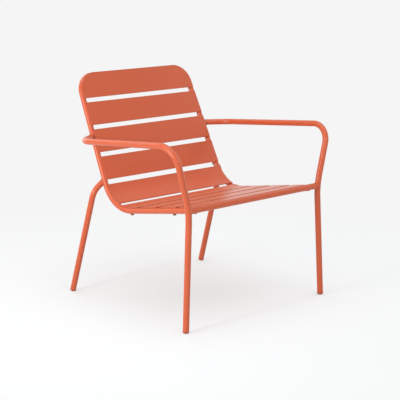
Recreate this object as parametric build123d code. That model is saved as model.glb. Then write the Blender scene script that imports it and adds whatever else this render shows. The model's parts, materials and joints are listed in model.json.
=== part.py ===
from build123d import *
import os
from math import cos, radians, sin, tan

# Metal garden lounge chair: bent steel tubes carry sheet slats, welded and powder coated.
# Millimetres and degrees. +Z is up, the chair faces -Y, and X runs across it.
# The shell is worked out from the axis of the front rail, where y is 0 to begin with.
# At the end the whole chair moves along Y, so that its origin is the middle of its plan box.

# Tube and sheet stock
leg_tube_diameter = 20.0    # legs, arms and front rail
rail_tube_diameter = 18.5   # side rails and top rail
tube_wall = 1.5
sheet_thickness = 3.0
sheet_edge_radius = 0.6
edge_radius_limit = 0.4     # largest edge radius, as a share of the sheet
weld_gap = 0.15             # room between two welded pieces

# Slats, measured along the tube face that carries them
slat_width = 78.9
slat_gap = 15.0
bend_slat_width = 86.4      # slat curved round the bend between back and seat
bend_slat_gap = 16.5        # gap above that slat
front_slat_width = 55.1
top_slat_cover = 80.9       # lower edge of the top slat to the axis of the top rail
bend_slat_start = 7.1       # upper edge of the bend slat, past the start of the bend
slat_overhang = 3.3         # slat end past the axis of the side rail
top_slat_overhang = 6.5     # upper edge of the top slat past the axis of the top rail
flat_back_slats = 3         # slats between the top slat and the bend slat
plain_seat_slats = 3        # slats between the bend slat and the front slat

# Shell frame: side rails, top rail and front rail
seat_front_height = 375.0   # axis of the front rail above the floor
front_rail_rise = 4.5       # axis of the front rail above the axes of the side rails
side_rail_setback = 7.0     # front end of a side rail behind the axis of the front rail
seat_angle = 9.6            # fall of the seat towards the back
recline_angle = 25.6        # back from the vertical
seat_bend_radius = 125.0
top_corner_radius = 62.0
top_joint_drop = 15.0       # butt joint below the top corner bend
rail_half_span = 247.7      # side rail axis from the middle plane, at its front end
rail_lean = 2.27            # inward lean of the side rails

# Front legs and arms, one tube on each side
front_foot_half_span = 300.8
front_foot_lead = 6.7       # foot in front of the front rail axis
leg_half_span = 281.0       # leg axis where the front rail meets it
leg_kink_radius = 250.0
arm_front_half_span = 335.1
arm_front_height = 574.2
arm_front_setback = 3.5     # front corner of the arm behind the front rail axis
arm_front_radius = 60.0
arm_rear_half_span = 318.3
arm_rear_lead = 47.0        # rear corner of the arm in front of the side rail axis
arm_rear_radius = 80.0
arm_joint_run = 162.2       # arm end on the side rail, up from the end of the bend
arm_joint_setback = 5.0     # arm axis behind the side rail axis where they meet

# Rear legs
rear_foot_half_span = 292.8
rear_foot_setback = 584.0   # foot behind the front rail axis
rear_leg_joint_run = 10.5   # leg top on the side rail, up from the end of the bend
rear_leg_joint_setback = 6.0    # leg axis behind the side rail axis where they meet
rear_leg_corner_half_span = 282.0
rear_leg_corner_setback = 8.6   # bend of the leg behind and below that joint
rear_leg_corner_drop = 29.2
rear_leg_radius = 60.0

# Foot glides: a domed sole under a collar, with a stem in the tube
glide_crown = 4.2           # height of the dome
glide_flat_depth = 0.6      # slice taken off the dome where it stands
glide_collar = 3.0
glide_stem_length = 18.0
glide_clearance = 0.1
glide_stem_chamfer = 1.0

# Stacking bumpers under the side rails
bumper_diameter = 11.0
bumper_height = 4.5
bumper_edge_radius = 2.0
bumper_stem_diameter = 6.0
bumper_stem_grip = 3.0      # stem inside the tube, past the wall
bumper_clearance = 0.1
front_bumper_run = 107.0    # front bumper from the front rail axis, along the seat
rear_bumper_run = 315.0

# Sizes that follow from those above
leg_radius = leg_tube_diameter / 2
rail_radius = rail_tube_diameter / 2
front_rail_radius = leg_radius
leg_bore = leg_radius - tube_wall
slat_pitch = slat_width + slat_gap
bend_turn = radians(90 - recline_angle + seat_angle)
bend_run = (seat_bend_radius - rail_radius) * bend_turn
bend_tangent = seat_bend_radius * tan(bend_turn / 2)
seat_run = bend_slat_start + bend_slat_width + plain_seat_slats * slat_pitch \
    + slat_gap + front_slat_width + slat_gap + front_rail_radius
back_run = top_slat_cover + flat_back_slats * slat_pitch + bend_slat_gap - bend_slat_start

# Side view of the shell: the axis of a side rail, and which way its slats face
seat_back_way = Vector(0, cos(radians(seat_angle)), -sin(radians(seat_angle)))
seat_face_way = Vector(0, sin(radians(seat_angle)), cos(radians(seat_angle)))
back_up_way = Vector(0, sin(radians(recline_angle)), cos(radians(recline_angle)))
back_face_way = Vector(0, -cos(radians(recline_angle)), sin(radians(recline_angle)))
rail_front = Vector(0, 0, seat_front_height - front_rail_rise)
seat_bend_start = rail_front + seat_back_way * (seat_run - bend_run)
bend_centre = seat_bend_start + seat_face_way * seat_bend_radius
bend_corner = seat_bend_start + seat_back_way * bend_tangent
back_bend_end = bend_corner + back_up_way * bend_tangent
top_corner = back_bend_end + back_up_way * back_run


def shell_point(run, lift):
    """Side view point, lift above the rail axis towards the sitter.

    run is 0 where the bend meets the back, negative up the back and positive towards the front.
    """
    if run <= 0:
        return back_bend_end - back_up_way * run + back_face_way * lift
    if run >= bend_run:
        return seat_bend_start - seat_back_way * (run - bend_run) + seat_face_way * lift
    angle = radians(90 - recline_angle) - bend_turn * run / bend_run
    return bend_centre + Vector(0, sin(angle), -cos(angle)) * (seat_bend_radius - lift)


def rail_x(height):
    """Distance of the right side rail's axis from the middle plane, at a height."""
    return rail_half_span - tan(radians(rail_lean)) * (height - rail_front.Z)


def on_right_rail(point):
    """Side view point moved out to the plane of the right side rail."""
    return Vector(rail_x(point.Z), point.Y, point.Z)


def swept(path, radius):
    """Round bar along a path."""
    start = Plane(origin=path @ 0, z_dir=path % 0)
    return sweep(start * Circle(radius), path=path)


def tube(path, radius):
    """Tube along a path, with an outer radius."""
    return swept(path, radius) - swept(path, radius - tube_wall)


def clear_of(path, radius):
    """Bar to cut with, where another piece is welded to the tube along a path."""
    return swept(path, radius + weld_gap)


def closing_disc(path, end, radius):
    """Disc that closes a tube at an end of its path, 0 or 1."""
    side = Align.MAX if end else Align.MIN
    plane = Plane(origin=path @ end, z_dir=path % end)
    return plane * Cylinder(radius, tube_wall, align=(Align.CENTER, Align.CENTER, side))


def mirrored(solid):
    """The same piece on the left side."""
    return mirror(solid, about=Plane.YZ)


# Paths of the tubes, the right one of each pair
rail_top = on_right_rail(top_corner)
rail_up_way = (rail_top - on_right_rail(bend_corner)).normalized()
top_turn = radians(rail_up_way.get_angle(Vector(-1, 0, 0)))
rail_end = rail_top - rail_up_way * (top_corner_radius * tan(top_turn / 2) + top_joint_drop)
rail_start = on_right_rail(shell_point(seat_run - side_rail_setback, 0))
rail_path = FilletPolyline(rail_start, on_right_rail(bend_corner), rail_end, radius=seat_bend_radius)
top_path = FilletPolyline(
    rail_end,
    rail_top,
    Vector(-rail_top.X, rail_top.Y, rail_top.Z),
    Vector(-rail_end.X, rail_end.Y, rail_end.Z),
    radius=top_corner_radius)

leg_knee = Vector(leg_half_span, 0, seat_front_height)
front_path = Line(Vector(-leg_knee.X, leg_knee.Y, leg_knee.Z), leg_knee)

# A foot stands where its leg's axis meets the floor; the tube ends above it, on the glide's collar
sole_radius = (leg_radius ** 2 + glide_crown ** 2) / (2 * glide_crown)
sole_height = sole_radius - glide_flat_depth
collar_face = glide_collar + glide_crown - sole_radius
front_foot = Vector(front_foot_half_span, -front_foot_lead, 0)
front_leg_way = (leg_knee - front_foot).normalized()
front_sole = front_foot + front_leg_way * (sole_height / front_leg_way.Z)

arm_joint = back_bend_end + back_up_way * arm_joint_run - back_face_way * arm_joint_setback
arm_path = FilletPolyline(
    front_sole + front_leg_way * collar_face,
    leg_knee,
    Vector(arm_front_half_span, arm_front_setback, arm_front_height),
    Vector(arm_rear_half_span, arm_joint.Y - arm_rear_lead, arm_joint.Z),
    on_right_rail(arm_joint),
    radius=[leg_kink_radius, arm_front_radius, arm_rear_radius])

rear_joint = on_right_rail(
    back_bend_end + back_up_way * rear_leg_joint_run - back_face_way * rear_leg_joint_setback)
rear_corner = Vector(
    rear_leg_corner_half_span,
    rear_joint.Y + rear_leg_corner_setback,
    rear_joint.Z - rear_leg_corner_drop)
rear_foot = Vector(rear_foot_half_span, rear_foot_setback, 0)
rear_leg_way = (rear_corner - rear_foot).normalized()
rear_sole = rear_foot + rear_leg_way * (sole_height / rear_leg_way.Z)
rear_path = FilletPolyline(
    rear_sole + rear_leg_way * collar_face, rear_corner, rear_joint, radius=rear_leg_radius)


def bumper_plane(run_from_front):
    """Plane on the right side rail's axis, with its z axis pointing out under the seat."""
    run = seat_run - run_from_front
    axis_point = shell_point(run, 0)
    under = (shell_point(run, -1) - axis_point).normalized()
    return Plane(origin=on_right_rail(axis_point), z_dir=under)


bumper_planes = {
    "front": bumper_plane(front_bumper_run),
    "rear": bumper_plane(rear_bumper_run),
}


def side_rail():
    """Right side rail, closed and coped onto the back of the front rail, with its bumper holes."""
    rail = tube(rail_path, rail_radius) + closing_disc(rail_path, 0, rail_radius)
    rail -= clear_of(front_path, front_rail_radius)
    hole_radius = bumper_stem_diameter / 2 + bumper_clearance
    outward = (Align.CENTER, Align.CENTER, Align.MIN)
    for plane in bumper_planes.values():
        rail -= plane * Cylinder(hole_radius, rail_tube_diameter, align=outward)
    return rail


def leg(path):
    """Leg or arm tube, closed at its top end and coped onto the side rail."""
    closed = tube(path, leg_radius) + closing_disc(path, 1, leg_radius)
    return closed - clear_of(rail_path, rail_radius)


def front_rail():
    """Straight tube between the front legs, coped onto both."""
    right_leg = clear_of(arm_path, leg_radius)
    return tube(front_path, front_rail_radius) - right_leg - mirrored(right_leg)


def sheet_profile(start, end):
    """Side view of a slat between two runs, lying on the side rails."""
    under = rail_radius + weld_gap
    over = under + sheet_thickness
    stops = [start] + [stop for stop in (0, bend_run) if start < stop < end] + [end]
    edges = []
    for first, last in zip(stops, stops[1:]):
        middle = (first + last) / 2
        for lift in (under, over):
            ends = shell_point(first, lift), shell_point(last, lift)
            if 0 < middle < bend_run:
                edges.append(ThreePointArc(ends[0], shell_point(middle, lift), ends[1]))
            else:
                edges.append(Line(*ends))
    for run in (start, end):
        edges.append(Line(shell_point(run, under), shell_point(run, over)))
    return make_face(edges)


def slat(start, end, corner_radius=0.0):
    """Slat between two runs, with its ends along the side rails and its edges eased."""
    end_x = [(rail_x(height) + slat_overhang, height) for height in (0, top_corner.Z + rail_tube_diameter)]
    outline = [Vector(x, 0, z) for x, z in end_x] + [Vector(-x, 0, z) for x, z in reversed(end_x)]
    width_limit = extrude(make_face(Polyline(outline, close=True)), top_corner.Y * 2, (0, 1, 0), both=True)
    sheet = extrude(sheet_profile(start, end), end_x[0][0], (1, 0, 0), both=True) & width_limit
    if corner_radius:
        through_sheet = sheet.edges().sort_by(SortBy.LENGTH)[:4]
        sheet = fillet(through_sheet.sort_by(Axis.Z)[-2:], corner_radius)
    return fillet(sheet.edges(), min(sheet_edge_radius, sheet_thickness * edge_radius_limit))


def slats():
    """All slats by name, from the top of the back to the front of the seat."""
    made = {}
    top_run = -back_run
    lower = top_run + top_slat_cover
    made["back_slat_1"] = slat(
        top_run - top_slat_overhang, lower, top_corner_radius + slat_overhang)
    start = lower + slat_gap
    for number in range(flat_back_slats):
        made[f"back_slat_{number + 2}"] = slat(start, start + slat_width)
        start += slat_pitch
    start += bend_slat_gap - slat_gap
    made["bend_slat"] = slat(start, start + bend_slat_width)
    start += bend_slat_width + slat_gap
    for number in range(plain_seat_slats):
        made[f"seat_slat_{number + 1}"] = slat(start, start + slat_width)
        start += slat_pitch
    made["front_seat_slat"] = slat(start, start + front_slat_width)
    return made


def glide(sole, leg_way):
    """Glide on a leg's axis: sole, collar and stem, cut flat at the floor."""
    down = (Align.CENTER, Align.CENTER, Align.MAX)
    up = (Align.CENTER, Align.CENTER, Align.MIN)
    head = Sphere(sole_radius) & Pos(0, 0, collar_face) * Cylinder(
        leg_radius, 2 * sole_radius, align=down)
    stem = Cylinder(leg_bore - glide_clearance, glide_stem_length, align=up)
    stem = chamfer(stem.edges().sort_by(Axis.Z)[-1:], glide_stem_chamfer)
    upright = Plane(origin=sole, z_dir=leg_way) * (head + Pos(0, 0, collar_face) * stem)
    below_floor = Pos(sole.X, sole.Y, 0) * Cylinder(leg_tube_diameter, leg_tube_diameter, align=down)
    return upright - below_floor


def bumper(plane):
    """Bumper saddled on the side rail, with its stem through the tube wall."""
    up = (Align.CENTER, Align.CENTER, Align.MIN)
    head = Cylinder(bumper_diameter / 2, rail_radius + bumper_height, align=up)
    head = fillet(head.edges().sort_by(Axis.Z)[-1:], bumper_edge_radius)
    stem_foot = rail_radius - tube_wall - bumper_stem_grip
    stem = Pos(0, 0, stem_foot) * Cylinder(
        bumper_stem_diameter / 2, rail_radius + bumper_height / 2 - stem_foot, align=up)
    return (plane * head - clear_of(rail_path, rail_radius)) + plane * stem


def chair():
    """Every piece of the chair, by name."""
    right = {
        "side_rail": side_rail(),
        "arm_and_front_leg": leg(arm_path),
        "rear_leg": leg(rear_path),
        "front_glide": glide(front_sole, front_leg_way),
        "rear_glide": glide(rear_sole, rear_leg_way),
    }
    for place, plane in bumper_planes.items():
        right[f"{place}_bumper"] = bumper(plane)
    pieces = {f"right_{name}": solid for name, solid in right.items()}
    pieces.update({f"left_{name}": mirrored(solid) for name, solid in right.items()})
    pieces["top_rail"] = tube(top_path, rail_radius)
    pieces["front_rail"] = front_rail()
    pieces.update(slats())
    return pieces


pieces = chair()
boxes = [solid.bounding_box() for solid in pieces.values()]
middle_y = (min(box.min.Y for box in boxes) + max(box.max.Y for box in boxes)) / 2

os.makedirs("parts", exist_ok=True)
for name, solid in pieces.items():
    export_step(Pos(0, -middle_y, 0) * solid, f"parts/{name}.step")
print(f"{len(pieces)} pieces, moved {-middle_y:.3f} along Y")
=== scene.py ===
import collections
import functools
import json
import math

import bmesh
import bpy
from mathutils import Euler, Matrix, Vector
from mathutils.bvhtree import BVHTree


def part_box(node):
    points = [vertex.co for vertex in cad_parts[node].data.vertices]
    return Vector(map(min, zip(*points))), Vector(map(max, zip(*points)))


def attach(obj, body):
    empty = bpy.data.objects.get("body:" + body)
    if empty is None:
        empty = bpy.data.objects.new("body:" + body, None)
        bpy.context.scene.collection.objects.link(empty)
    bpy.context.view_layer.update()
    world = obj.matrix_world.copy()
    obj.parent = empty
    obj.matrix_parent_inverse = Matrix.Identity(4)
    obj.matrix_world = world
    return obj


# Looks of the metal garden lounge chair. Metres; +Z is up and the chair faces -Y.
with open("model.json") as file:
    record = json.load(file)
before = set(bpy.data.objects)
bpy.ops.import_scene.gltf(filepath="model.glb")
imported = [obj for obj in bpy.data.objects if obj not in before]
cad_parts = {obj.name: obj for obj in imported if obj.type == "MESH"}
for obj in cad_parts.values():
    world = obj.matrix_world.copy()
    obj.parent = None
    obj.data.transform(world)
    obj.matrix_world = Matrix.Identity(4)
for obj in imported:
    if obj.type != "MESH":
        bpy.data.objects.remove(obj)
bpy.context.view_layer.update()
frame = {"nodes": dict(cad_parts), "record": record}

# Colours, in linear light
ORANGE = (0.59, 0.102, 0.034, 1.0)
# Sharp edges of the coat are darkened towards this: partly a thinner coat, mostly painted shade in the
# narrow slat gaps and the creases at the welds
THIN_EDGE_COAT_AND_SHADE = (0.26, 0.040, 0.016, 1.0)
# The glides' orange, darker than the frame's: painted shade on the feet by the floor
SHADED_GLIDE_ORANGE = (0.36, 0.066, 0.030, 1.0)
DARK_PLASTIC = (0.24, 0.085, 0.052, 1.0)
WARM_SHEEN = (1.0, 0.85, 0.60, 1.0)
WHITE = (1.0, 1.0, 1.0, 1.0)
BACKGROUND = (0.913, 0.913, 0.913, 1.0)
FLOOR_PAINT = (0.87, 0.90, 0.915, 1.0)
FLOOR_BOUNCE = (0.68, 0.68, 0.68, 1.0)

# Powder coat; texture scales are per metre
CLOUD_SCALE = 9.0
CLOUD_SPREAD = 0.04
# Patches and width of the darkened edges: painted shade in the slat gaps and weld creases, on top of a
# thinner coat
DARK_EDGE_PATCH_SCALE = 90.0
DARK_EDGE_PATCH_SHARES = (0.6, 1.0)
DARK_EDGE_WIDTH = 0.0030
SATIN_SCALE = 160.0
SATIN_ROUGHNESS = (0.26, 0.33)
SPECULAR_LEVEL = 0.45
SHEEN_WEIGHT = 0.06
SHEEN_ROUGHNESS = 0.4
PEEL_SCALE = 1100.0
PEEL_STRENGTH = 0.10
PEEL_HEIGHT = 0.0004

# Moulded plastic
MOTTLE_SCALE = 60.0
MOTTLE_SPREAD = 0.08
SCUFF_WIDTH = 0.0008
SCUFF_SHARE = 0.4
SCUFF_BRIGHTENING = 1.5
ROUGHNESS_SPREAD = 0.06
GRAIN_SCALE = 2200.0
GRAIN_STRENGTH = 0.25
GRAIN_HEIGHT = 0.0002

# How far a rounded normal agrees with the real one where an edge begins, and where it is full
EDGE_AGREEMENT = (0.97, 0.85)
EDGE_SAMPLES = 6

# The floor shows its shadows near the chair and turns plain further away; metres from the middle
FLOOR_SHADOW_SHARE = 0.5
FLOOR_PLAIN_FROM = 0.5
FLOOR_PLAIN_AT = 1.6
FLOOR_HALF_SIZE = 40.0
FLOOR_DROP = 0.0003

# Weld beads between the tubes, and short ones that hold the slats
BEAD_RADIUS = 0.0018
BEAD_STEP = 0.0006
BEAD_SIDES = 10
BEAD_SMOOTHINGS = 4
RIPPLE_LENGTH = 0.0024
RIPPLE_SHARE = 0.10
SEAM_REACH = 0.0006
SAME_PLACE = 1e-6
SLAT_BEAD_LENGTH = 0.024
SLAT_BEAD_STEPS = 6
SLAT_BEAD_PLACE = 0.98      # share of a slat's half length
TOP_SLAT = "back_slat_1"
TOP_BEAD_PLACE = 0.6        # share of the top slat's half length
PROBE_REACH = 0.01
CREST_SEARCHES = 8
SITTER_WAY = Vector((0.0, -0.5, 0.87))
X_WAY = Vector((1.0, 0.0, 0.0))

# Lips folded down along the gaps between the seat slats
SEAT_SLATS = ("seat_slat_1", "seat_slat_2", "seat_slat_3", "front_seat_slat")
LIP_DEPTH = 0.010
LIP_THICKNESS = 0.0015
LIP_INSET = 0.0001
LIP_CLEARANCE = 0.0003
LIP_STATIONS = 240
EDGE_SEARCHES = 3
REAR_EDGE, FRONT_EDGE = -1, 1

# The photograph's view
IMAGE_PIXELS = 400
FOCAL_PIXELS = 1155.9
SENSOR_WIDTH = 36.0
VIEW_AZIMUTH = -42.03
VIEW_ELEVATION = 12.45
CAMERA_PLACE = (-2.4966, -2.8082, 1.1479)

# Where the softboxes stand
SEAT_MIDDLE = 0.4
SOFTBOX_DISTANCE = 3.2


class NodeGraph:
    """Small helper that adds and links shader nodes of one material or world."""

    def __init__(self, owner):
        owner.use_nodes = True
        self.tree = owner.node_tree
        self.tree.nodes.clear()

    def add(self, kind, **settings):
        node = self.tree.nodes.new(kind)
        for name, value in settings.items():
            setattr(node, name, value)
        return node

    def put(self, value, socket):
        """Links a socket to an input, or sets the input to a constant."""
        if isinstance(value, bpy.types.NodeSocket):
            self.tree.links.new(value, socket)
        else:
            socket.default_value = value

    def math(self, operation, first, second):
        node = self.add("ShaderNodeMath", operation=operation)
        self.put(first, node.inputs[0])
        self.put(second, node.inputs[1])
        return node.outputs[0]

    def noise(self, place, scale, detail=2.0):
        """Noise texture of a scale per metre."""
        node = self.add("ShaderNodeTexNoise")
        self.put(scale, node.inputs["Scale"])
        self.put(detail, node.inputs["Detail"])
        self.put(place, node.inputs["Vector"])
        return node.outputs["Fac"]

    def blend(self, factor, first, second):
        """Colour between two colours."""
        node = self.add("ShaderNodeMix", data_type="RGBA")
        self.put(factor, node.inputs["Factor"])
        self.put(first, node.inputs["A"])
        self.put(second, node.inputs["B"])
        return node.outputs["Result"]

    def ramp(self, value, from_range, to_range, smooth=False):
        """Value brought from one range to another and held inside it."""
        node = self.add("ShaderNodeMapRange", interpolation_type="SMOOTHSTEP" if smooth else "LINEAR")
        limits = zip(("From Min", "From Max", "To Min", "To Max"), from_range + to_range)
        for name, limit in limits:
            self.put(limit, node.inputs[name])
        self.put(value, node.inputs["Value"])
        return node.outputs["Result"]

    def mixed(self, factor, first, second):
        """Mix of two shaders."""
        node = self.add("ShaderNodeMixShader")
        self.put(factor, node.inputs["Fac"])
        self.put(first, node.inputs[1])
        self.put(second, node.inputs[2])
        return node.outputs[0]

    def bump(self, height, strength, distance):
        node = self.add("ShaderNodeBump")
        self.put(strength, node.inputs["Strength"])
        self.put(distance, node.inputs["Distance"])
        self.put(height, node.inputs["Height"])
        return node.outputs["Normal"]

    def edges(self, width):
        """1 on the edges of a body, falling to 0 within a width."""
        rounded = self.add("ShaderNodeBevel", samples=EDGE_SAMPLES)
        self.put(width, rounded.inputs["Radius"])
        facing = self.add("ShaderNodeVectorMath", operation="DOT_PRODUCT")
        self.put(rounded.outputs["Normal"], facing.inputs[0])
        self.put(self.add("ShaderNodeNewGeometry").outputs["Normal"], facing.inputs[1])
        return self.ramp(facing.outputs["Value"], EDGE_AGREEMENT, (0.0, 1.0))

    def seen_directly(self):
        """1 for camera, reflected and transmitted rays, 0 for rays that gather light."""
        path = self.add("ShaderNodeLightPath")
        seen = self.math("MAXIMUM", path.outputs["Is Camera Ray"], path.outputs["Is Glossy Ray"])
        return self.math("MAXIMUM", seen, path.outputs["Is Transmission Ray"])


def shaded(colour, share):
    """A colour scaled by a share, with its alpha kept."""
    return tuple(channel * share for channel in colour[:3]) + (colour[3],)


def principled(name):
    """New material: its node graph, its shader and the place on the object."""
    material = bpy.data.materials.new(name)
    graph = NodeGraph(material)
    shader = graph.add("ShaderNodeBsdfPrincipled")
    output = graph.add("ShaderNodeOutputMaterial")
    graph.put(shader.outputs["BSDF"], output.inputs["Surface"])
    place = graph.add("ShaderNodeTexCoord").outputs["Object"]
    return material, graph, shader, place


def powder_coat():
    """Satin powder coat: orange peel, cloudy colour and sheen, and darkened sharp edges: a thinner coat,
    with painted shade in the slat gaps and the creases at the welds.
    """
    material, graph, shader, place = principled("orange_powder_coat")
    clouds = graph.noise(place, CLOUD_SCALE, detail=3.0)
    colour = graph.blend(clouds, shaded(ORANGE, 1 - CLOUD_SPREAD), shaded(ORANGE, 1 + CLOUD_SPREAD))
    # Sharp edges and concave creases darkened in patches: painted shade in the slat gaps and at the welds,
    # with a thinner coat
    dark_edge_patches = graph.ramp(graph.noise(place, DARK_EDGE_PATCH_SCALE, detail=4.0), (0.35, 0.65), DARK_EDGE_PATCH_SHARES)
    thin_coat_and_shade = graph.math("MULTIPLY", graph.edges(DARK_EDGE_WIDTH), dark_edge_patches)
    colour = graph.blend(thin_coat_and_shade, colour, THIN_EDGE_COAT_AND_SHADE)
    graph.put(colour, shader.inputs["Base Color"])
    satin = graph.ramp(graph.noise(place, SATIN_SCALE), (0.2, 0.8), SATIN_ROUGHNESS)
    graph.put(satin, shader.inputs["Roughness"])
    graph.put(SPECULAR_LEVEL, shader.inputs["Specular IOR Level"])
    graph.put(SHEEN_WEIGHT, shader.inputs["Sheen Weight"])
    graph.put(WARM_SHEEN, shader.inputs["Sheen Tint"])
    graph.put(SHEEN_ROUGHNESS, shader.inputs["Sheen Roughness"])
    peel = graph.noise(place, PEEL_SCALE, detail=1.0)
    graph.put(graph.bump(peel, PEEL_STRENGTH, PEEL_HEIGHT), shader.inputs["Normal"])
    return material


def moulded_plastic(name, colour, roughness):
    """Moulded plastic with a fine spark-eroded grain and scuffed edges."""
    material, graph, shader, place = principled(name)
    mottle = graph.noise(place, MOTTLE_SCALE)
    scuffed = graph.math("MULTIPLY", graph.edges(SCUFF_WIDTH), SCUFF_SHARE)
    body = graph.blend(mottle, shaded(colour, 1 - MOTTLE_SPREAD), shaded(colour, 1 + MOTTLE_SPREAD))
    graph.put(graph.blend(scuffed, body, shaded(colour, SCUFF_BRIGHTENING)), shader.inputs["Base Color"])
    roughness_range = (roughness - ROUGHNESS_SPREAD, roughness + ROUGHNESS_SPREAD)
    graph.put(graph.ramp(mottle, (0.2, 0.8), roughness_range), shader.inputs["Roughness"])
    grain = graph.noise(place, GRAIN_SCALE, detail=1.0)
    graph.put(graph.bump(grain, GRAIN_STRENGTH, GRAIN_HEIGHT), shader.inputs["Normal"])
    return material


def dress_cad_nodes(looks):
    """Gives each CAD node the looks of its record slot."""
    slots = {part["node"]: part["material_slot"] for part in frame["record"]["subparts"]}
    for name, node in frame["nodes"].items():
        node.data.materials.clear()
        node.data.materials.append(looks[slots[name]])


def painted_piece(name, body, coat, smooth=False):
    """Piece of the chair's body, made of a mesh in work and painted like the frame."""
    bmesh.ops.recalc_face_normals(body, faces=body.faces)
    mesh = bpy.data.meshes.new(name)
    body.to_mesh(mesh)
    body.free()
    if smooth:
        mesh.shade_smooth()
    mesh.materials.append(coat)
    piece = bpy.data.objects.new(name, mesh)
    bpy.context.scene.collection.objects.link(piece)
    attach(piece, "root")


@functools.cache
def surface_of(name):
    """Search tree of a CAD node's surface."""
    mesh = frame["nodes"][name].data
    places = [vertex.co for vertex in mesh.vertices]
    return BVHTree.FromPolygons(places, [polygon.vertices for polygon in mesh.polygons])


def towards_sitter(normal):
    """A sheet's normal, turned to the side that the sitter touches."""
    return normal if normal.dot(SITTER_WAY) > 0.0 else -normal


def longest_line(edges):
    """Corners of the longest line through edges that share corners, and whether it closes on itself."""
    neighbours = collections.defaultdict(list)
    for edge in edges:
        first, second = edge.verts
        neighbours[first].append(second)
        neighbours[second].append(first)
    passed = set()
    lines = []
    for corner in sorted(neighbours, key=lambda vertex: len(neighbours[vertex])):
        line = []
        while corner and corner not in passed:
            passed.add(corner)
            line.append(corner)
            corner = next((vertex for vertex in neighbours[corner] if vertex not in passed), None)
        lines.append(line)
    longest = max(lines, key=lambda line: sum((b.co - a.co).length for a, b in zip(line, line[1:])))
    return [vertex.co.copy() for vertex in longest], longest[0] in neighbours[longest[-1]]


def seam(coped, other):
    """Outer rim of a tube end that is coped onto another tube, and whether it goes all the way round."""
    surface = surface_of(other)
    body = bmesh.new()
    body.from_mesh(frame["nodes"][coped].data)
    bmesh.ops.remove_doubles(body, verts=body.verts, dist=SAME_PLACE)
    touching = {vertex for vertex in body.verts if surface.find_nearest(vertex.co, SEAM_REACH)[0]}
    rim = []
    for edge in body.edges:
        if touching.issuperset(edge.verts):
            coped_faces = sum(touching.issuperset(face.verts) for face in edge.link_faces)
            if coped_faces == 1:
                rim.append(edge)
    line = longest_line(rim)
    body.free()
    return line


def even_steps(line, closed):
    """Points at even steps along a line, smoothed between its corners."""
    corners = line + line[:1] if closed else line
    lengths = [(later - first).length for first, later in zip(corners, corners[1:])]
    count = max(4, round(sum(lengths) / BEAD_STEP))
    points = []
    passed, index = 0.0, 0
    for number in range(count if closed else count + 1):
        target = sum(lengths) * number / count
        while index < len(lengths) - 1 and passed + lengths[index] < target:
            passed += lengths[index]
            index += 1
        share = (target - passed) / lengths[index] if lengths[index] else 0.0
        points.append(corners[index].lerp(corners[index + 1], min(share, 1.0)))
    for _ in range(BEAD_SMOOTHINGS):
        ends = (points[-1:], points[:1]) if closed else (points[:1], points[-1:])
        padded = ends[0] + points + ends[1]
        points = [(before + 2 * point + after) / 4
                  for before, point, after in zip(padded, points, padded[2:])]
    return points


def add_bead(body, line, closed):
    """Adds a rippled bead along a line to a mesh; an open one ends in rounded tips."""
    points = even_steps(line, closed)
    count = len(points)
    turns = [2 * math.pi * corner / BEAD_SIDES for corner in range(BEAD_SIDES)]
    rings = []
    for number, point in enumerate(points):
        before = points[number - 1] if closed or number else point
        after = points[(number + 1) % count] if closed or number < count - 1 else point
        way = (after - before).normalized()
        side = way.orthogonal().normalized() if not rings else (side - side.dot(way) * way).normalized()
        up = way.cross(side)
        ripple = math.cos(2 * math.pi * number * BEAD_STEP / RIPPLE_LENGTH)
        radius = BEAD_RADIUS * (1 + RIPPLE_SHARE * ripple)
        if not closed:
            from_tip = min(number + 0.5, count - number - 0.5) * BEAD_STEP
            radius *= math.sin(math.pi / 2 * min(1.0, from_tip / BEAD_RADIUS))
        places = [point + radius * (math.cos(turn) * side + math.sin(turn) * up) for turn in turns]
        rings.append([body.verts.new(place) for place in places])
    if closed:
        twist = min(range(BEAD_SIDES), key=lambda step: (rings[0][step].co - rings[-1][0].co).length)
        rings.append(rings[0][twist:] + rings[0][:twist])
    else:
        body.faces.new(reversed(rings[0]))
        body.faces.new(rings[-1])
    for ring, following in zip(rings, rings[1:]):
        for corner in range(BEAD_SIDES):
            later = (corner + 1) % BEAD_SIDES
            body.faces.new((ring[corner], ring[later], following[later], following[corner]))


def bead_piece(name, lines, coat):
    """One piece of all beads of a kind; lines are pairs of a line and whether it is closed."""
    body = bmesh.new()
    for line, closed in lines:
        add_bead(body, line, closed)
    painted_piece(name, body, coat, smooth=True)


def frame_seams():
    """Seams at the coped tube ends of both sides."""
    seams = []
    for side in ("left", "right"):
        rail = f"{side}_side_rail"
        arm = f"{side}_arm_and_front_leg"
        pairs = [(arm, rail), (f"{side}_rear_leg", rail), ("front_rail", arm), (rail, "front_rail")]
        seams += [seam(*pair) for pair in pairs]
    return seams


def sheet_middle(slat):
    """Middle of a slat on its surface, and the way that surface faces there, towards the sitter."""
    mesh = frame["nodes"][slat].data
    middle = sum((vertex.co for vertex in mesh.vertices), Vector()) / len(mesh.vertices)
    place, normal = surface_of(slat).find_nearest(middle)[:2]
    return place, towards_sitter(normal)


def slat_seam(slat, bar, start, way):
    """Short line beside a bar under a slat, on the side of the slat's middle."""
    sheet, surface = surface_of(slat), surface_of(bar)
    middle = sheet_middle(slat)[0]
    line = []
    for step in range(-SLAT_BEAD_STEPS, SLAT_BEAD_STEPS + 1):
        spot = start + way * (SLAT_BEAD_LENGTH / 2 * step / SLAT_BEAD_STEPS)
        crest, normal = sheet.find_nearest(spot)[:2]
        face = towards_sitter(normal)
        for _ in range(CREST_SEARCHES):
            crest = surface.find_nearest(crest + face * PROBE_REACH)[0]
            crest -= way * way.dot(crest - spot)
        foot = surface.find_nearest(crest - face * PROBE_REACH)[0]
        bar_radius = (crest - foot).length / 2
        inward = face.cross(way)
        inward *= math.copysign(1.0, inward.dot(middle - crest))
        line.append(crest - face * BEAD_RADIUS + inward * 2 * math.sqrt(bar_radius * BEAD_RADIUS))
    return line, False


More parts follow.
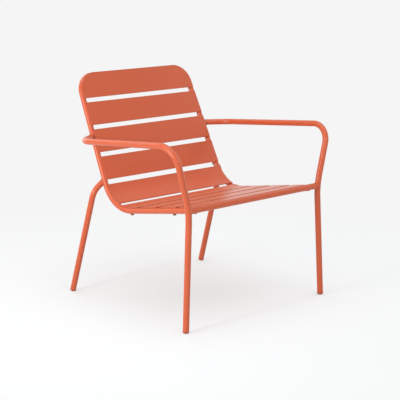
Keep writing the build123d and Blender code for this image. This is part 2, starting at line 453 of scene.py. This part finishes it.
def slat_seams():
    """Seams that hold the slats on the side rails, and the top slat on the top rail."""
    seams = []
    for slat in (name for name in frame["nodes"] if "slat" in name):
        middle, face = sheet_middle(slat)
        half_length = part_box(slat)[1][0]
        if slat == TOP_SLAT:
            for share in (-TOP_BEAD_PLACE, TOP_BEAD_PLACE):
                start = middle + X_WAY * half_length * share
                seams.append(slat_seam(slat, "top_rail", start, X_WAY))
            continue
        for side, share in (("left", -SLAT_BEAD_PLACE), ("right", SLAT_BEAD_PLACE)):
            start = middle + X_WAY * half_length * share
            seams.append(slat_seam(slat, f"{side}_side_rail", start, face.cross(X_WAY).normalized()))
    return seams


def edge_frame(slat, edge):
    """Middle of a slat's long edge, the way that the sheet faces there and the way out of the sheet."""
    corners = [vertex.co for vertex in frame["nodes"][slat].data.vertices]
    face = sheet_middle(slat)[1]
    for _ in range(EDGE_SEARCHES):
        way = X_WAY.cross(face) * edge
        tip = max(corners, key=lambda corner: corner.dot(way)).copy()
        tip.x = 0.0
        normal = surface_of(slat).find_nearest(tip - way * LIP_DEPTH / 2 + face * LIP_DEPTH)[1]
        face = towards_sitter(normal)
    return tip, face, way


def add_lip(body, slat, edge):
    """Adds a lip under one long edge of a slat to a mesh, coped over the side rails."""
    sheet = surface_of(slat)
    rails = [surface_of("left_side_rail"), surface_of("right_side_rail")]
    tip, face, way = edge_frame(slat, edge)
    half_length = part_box(slat)[1][0]
    sections = []
    for station in range(LIP_STATIONS + 1):
        across = X_WAY * half_length * (2 * station / LIP_STATIONS - 1)
        below = tip + across - way * (LIP_INSET + LIP_THICKNESS) - face * 2 * LIP_DEPTH
        under = sheet.ray_cast(below, face, 3 * LIP_DEPTH)[0]
        if under is None:
            continue
        reaches = [rail.ray_cast(under, -face, LIP_DEPTH)[3] for rail in rails]
        depth = min([LIP_DEPTH] + [reach - LIP_CLEARANCE for reach in reaches if reach is not None])
        if depth <= LIP_CLEARANCE:
            continue
        root = under + face * LIP_INSET
        foot = under - face * depth
        outline = ((root, LIP_THICKNESS), (foot, LIP_THICKNESS), (foot, 0.0), (root, 0.0))
        sections.append([body.verts.new(place + way * step) for place, step in outline])
    for first, later in zip(sections, sections[1:]):
        for corner in range(4):
            following = (corner + 1) % 4
            body.faces.new((first[corner], first[following], later[following], later[corner]))
    body.faces.new(sections[0])
    body.faces.new(reversed(sections[-1]))


def slat_lips(coat):
    """One piece of all lips under the seat slats, on both sides of each gap."""
    body = bmesh.new()
    for behind, before in zip(SEAT_SLATS, SEAT_SLATS[1:]):
        add_lip(body, behind, FRONT_EDGE)
        add_lip(body, before, REAR_EDGE)
    painted_piece("seat_slat_lips", body, coat)


def studio_world(strength):
    """Even soft light from all round, seen as a pale backdrop."""
    world = bpy.data.worlds.new("studio")
    bpy.context.scene.world = world
    graph = NodeGraph(world)
    light = graph.add("ShaderNodeBackground")
    graph.put(WHITE, light.inputs["Color"])
    graph.put(strength, light.inputs["Strength"])
    backdrop = graph.add("ShaderNodeBackground")
    graph.put(BACKGROUND, backdrop.inputs["Color"])
    graph.put(1.0, backdrop.inputs["Strength"])
    output = graph.add("ShaderNodeOutputWorld")
    surface = graph.mixed(graph.seen_directly(), light.outputs[0], backdrop.outputs[0])
    graph.put(surface, output.inputs["Surface"])


def soft_sun(name, towards, strength, spread):
    """Soft light from far away; towards points from the chair to the light, spread is in degrees."""
    lamp = bpy.data.lights.new(name, "SUN")
    lamp.energy = strength
    lamp.angle = math.radians(spread)
    holder = bpy.data.objects.new(name, lamp)
    holder.rotation_euler = Vector(towards).to_track_quat("Z", "Y").to_euler()
    bpy.context.scene.collection.objects.link(holder)


def softbox(name, azimuth, elevation, watts, size):
    """Square softbox aimed at the seat; azimuth in degrees from the chair's front towards +X."""
    turn, rise = math.radians(azimuth), math.radians(elevation)
    way = Vector((math.sin(turn) * math.cos(rise), -math.cos(turn) * math.cos(rise), math.sin(rise)))
    lamp = bpy.data.lights.new(name, "AREA")
    lamp.energy = watts
    lamp.size = size
    holder = bpy.data.objects.new(name, lamp)
    holder.location = Vector((0.0, 0.0, SEAT_MIDDLE)) + SOFTBOX_DISTANCE * way
    holder.rotation_euler = way.to_track_quat("Z", "Y").to_euler()
    bpy.context.scene.collection.objects.link(holder)


def studio_floor():
    """Plain pale floor that fills the view; its shadows show near the chair."""
    half = FLOOR_HALF_SIZE
    mesh = bpy.data.meshes.new("floor")
    corners = [(-half, -half, 0), (half, -half, 0), (half, half, 0), (-half, half, 0)]
    mesh.from_pydata(corners, [], [(0, 1, 2, 3)])
    floor = bpy.data.objects.new("floor", mesh)
    floor.location.z = -FLOOR_DROP
    bpy.context.scene.collection.objects.link(floor)

    material = bpy.data.materials.new("pale_floor")
    graph = NodeGraph(material)
    paint = graph.add("ShaderNodeBsdfDiffuse")
    graph.put(FLOOR_PAINT, paint.inputs["Color"])
    bounce = graph.add("ShaderNodeBsdfDiffuse")
    graph.put(FLOOR_BOUNCE, bounce.inputs["Color"])
    plain = graph.add("ShaderNodeEmission")
    graph.put(BACKGROUND, plain.inputs["Color"])
    graph.put(1.0, plain.inputs["Strength"])
    distance = graph.add("ShaderNodeVectorMath", operation="LENGTH")
    graph.put(graph.add("ShaderNodeTexCoord").outputs["Object"], distance.inputs[0])
    plain_share = graph.ramp(
        distance.outputs["Value"], (FLOOR_PLAIN_FROM, FLOOR_PLAIN_AT), (1.0 - FLOOR_SHADOW_SHARE, 1.0),
        smooth=True)
    shown = graph.mixed(plain_share, paint.outputs[0], plain.outputs[0])
    output = graph.add("ShaderNodeOutputMaterial")
    graph.put(graph.mixed(graph.seen_directly(), bounce.outputs[0], shown), output.inputs["Surface"])
    mesh.materials.append(material)


def photograph_camera():
    """Camera with the photograph's place, direction and lens."""
    camera = bpy.data.cameras.new("camera")
    camera.sensor_width = SENSOR_WIDTH
    camera.lens = SENSOR_WIDTH * FOCAL_PIXELS / IMAGE_PIXELS
    camera.clip_end = 200.0
    holder = bpy.data.objects.new("camera", camera)
    holder.location = CAMERA_PLACE
    holder.rotation_euler = Euler((math.radians(90.0 - VIEW_ELEVATION), 0.0, math.radians(VIEW_AZIMUTH)))
    bpy.context.scene.collection.objects.link(holder)
    bpy.context.scene.camera = holder


coat = powder_coat()
dress_cad_nodes({
    "powder_coat": coat,
    # Glides in the frame's orange, darkened with painted shade
    "glide_plastic": moulded_plastic("orange_glide_plastic", SHADED_GLIDE_ORANGE, roughness=0.5),
    "bumper_plastic": moulded_plastic("dark_bumper_plastic", DARK_PLASTIC, roughness=0.6),
})
bead_piece("frame_weld_beads", frame_seams(), coat)
bead_piece("slat_weld_beads", slat_seams(), coat)
slat_lips(coat)
studio_world(strength=0.385)
soft_sun("top_light", towards=(0.0, -0.05, 1.0), strength=1.2, spread=60.0)
softbox("left_key", azimuth=275.0, elevation=10.0, watts=30.0, size=0.3)
softbox("left_fill", azimuth=265.0, elevation=18.0, watts=39.0, size=2.0)
softbox("right_fill", azimuth=80.0, elevation=18.0, watts=16.0, size=2.0)
softbox("back_light", azimuth=183.0, elevation=18.0, watts=15.5, size=2.0)
softbox("front_fill", azimuth=355.0, elevation=22.0, watts=19.5, size=2.0)
studio_floor()
photograph_camera()
bpy.context.scene.view_settings.view_transform = "Standard"
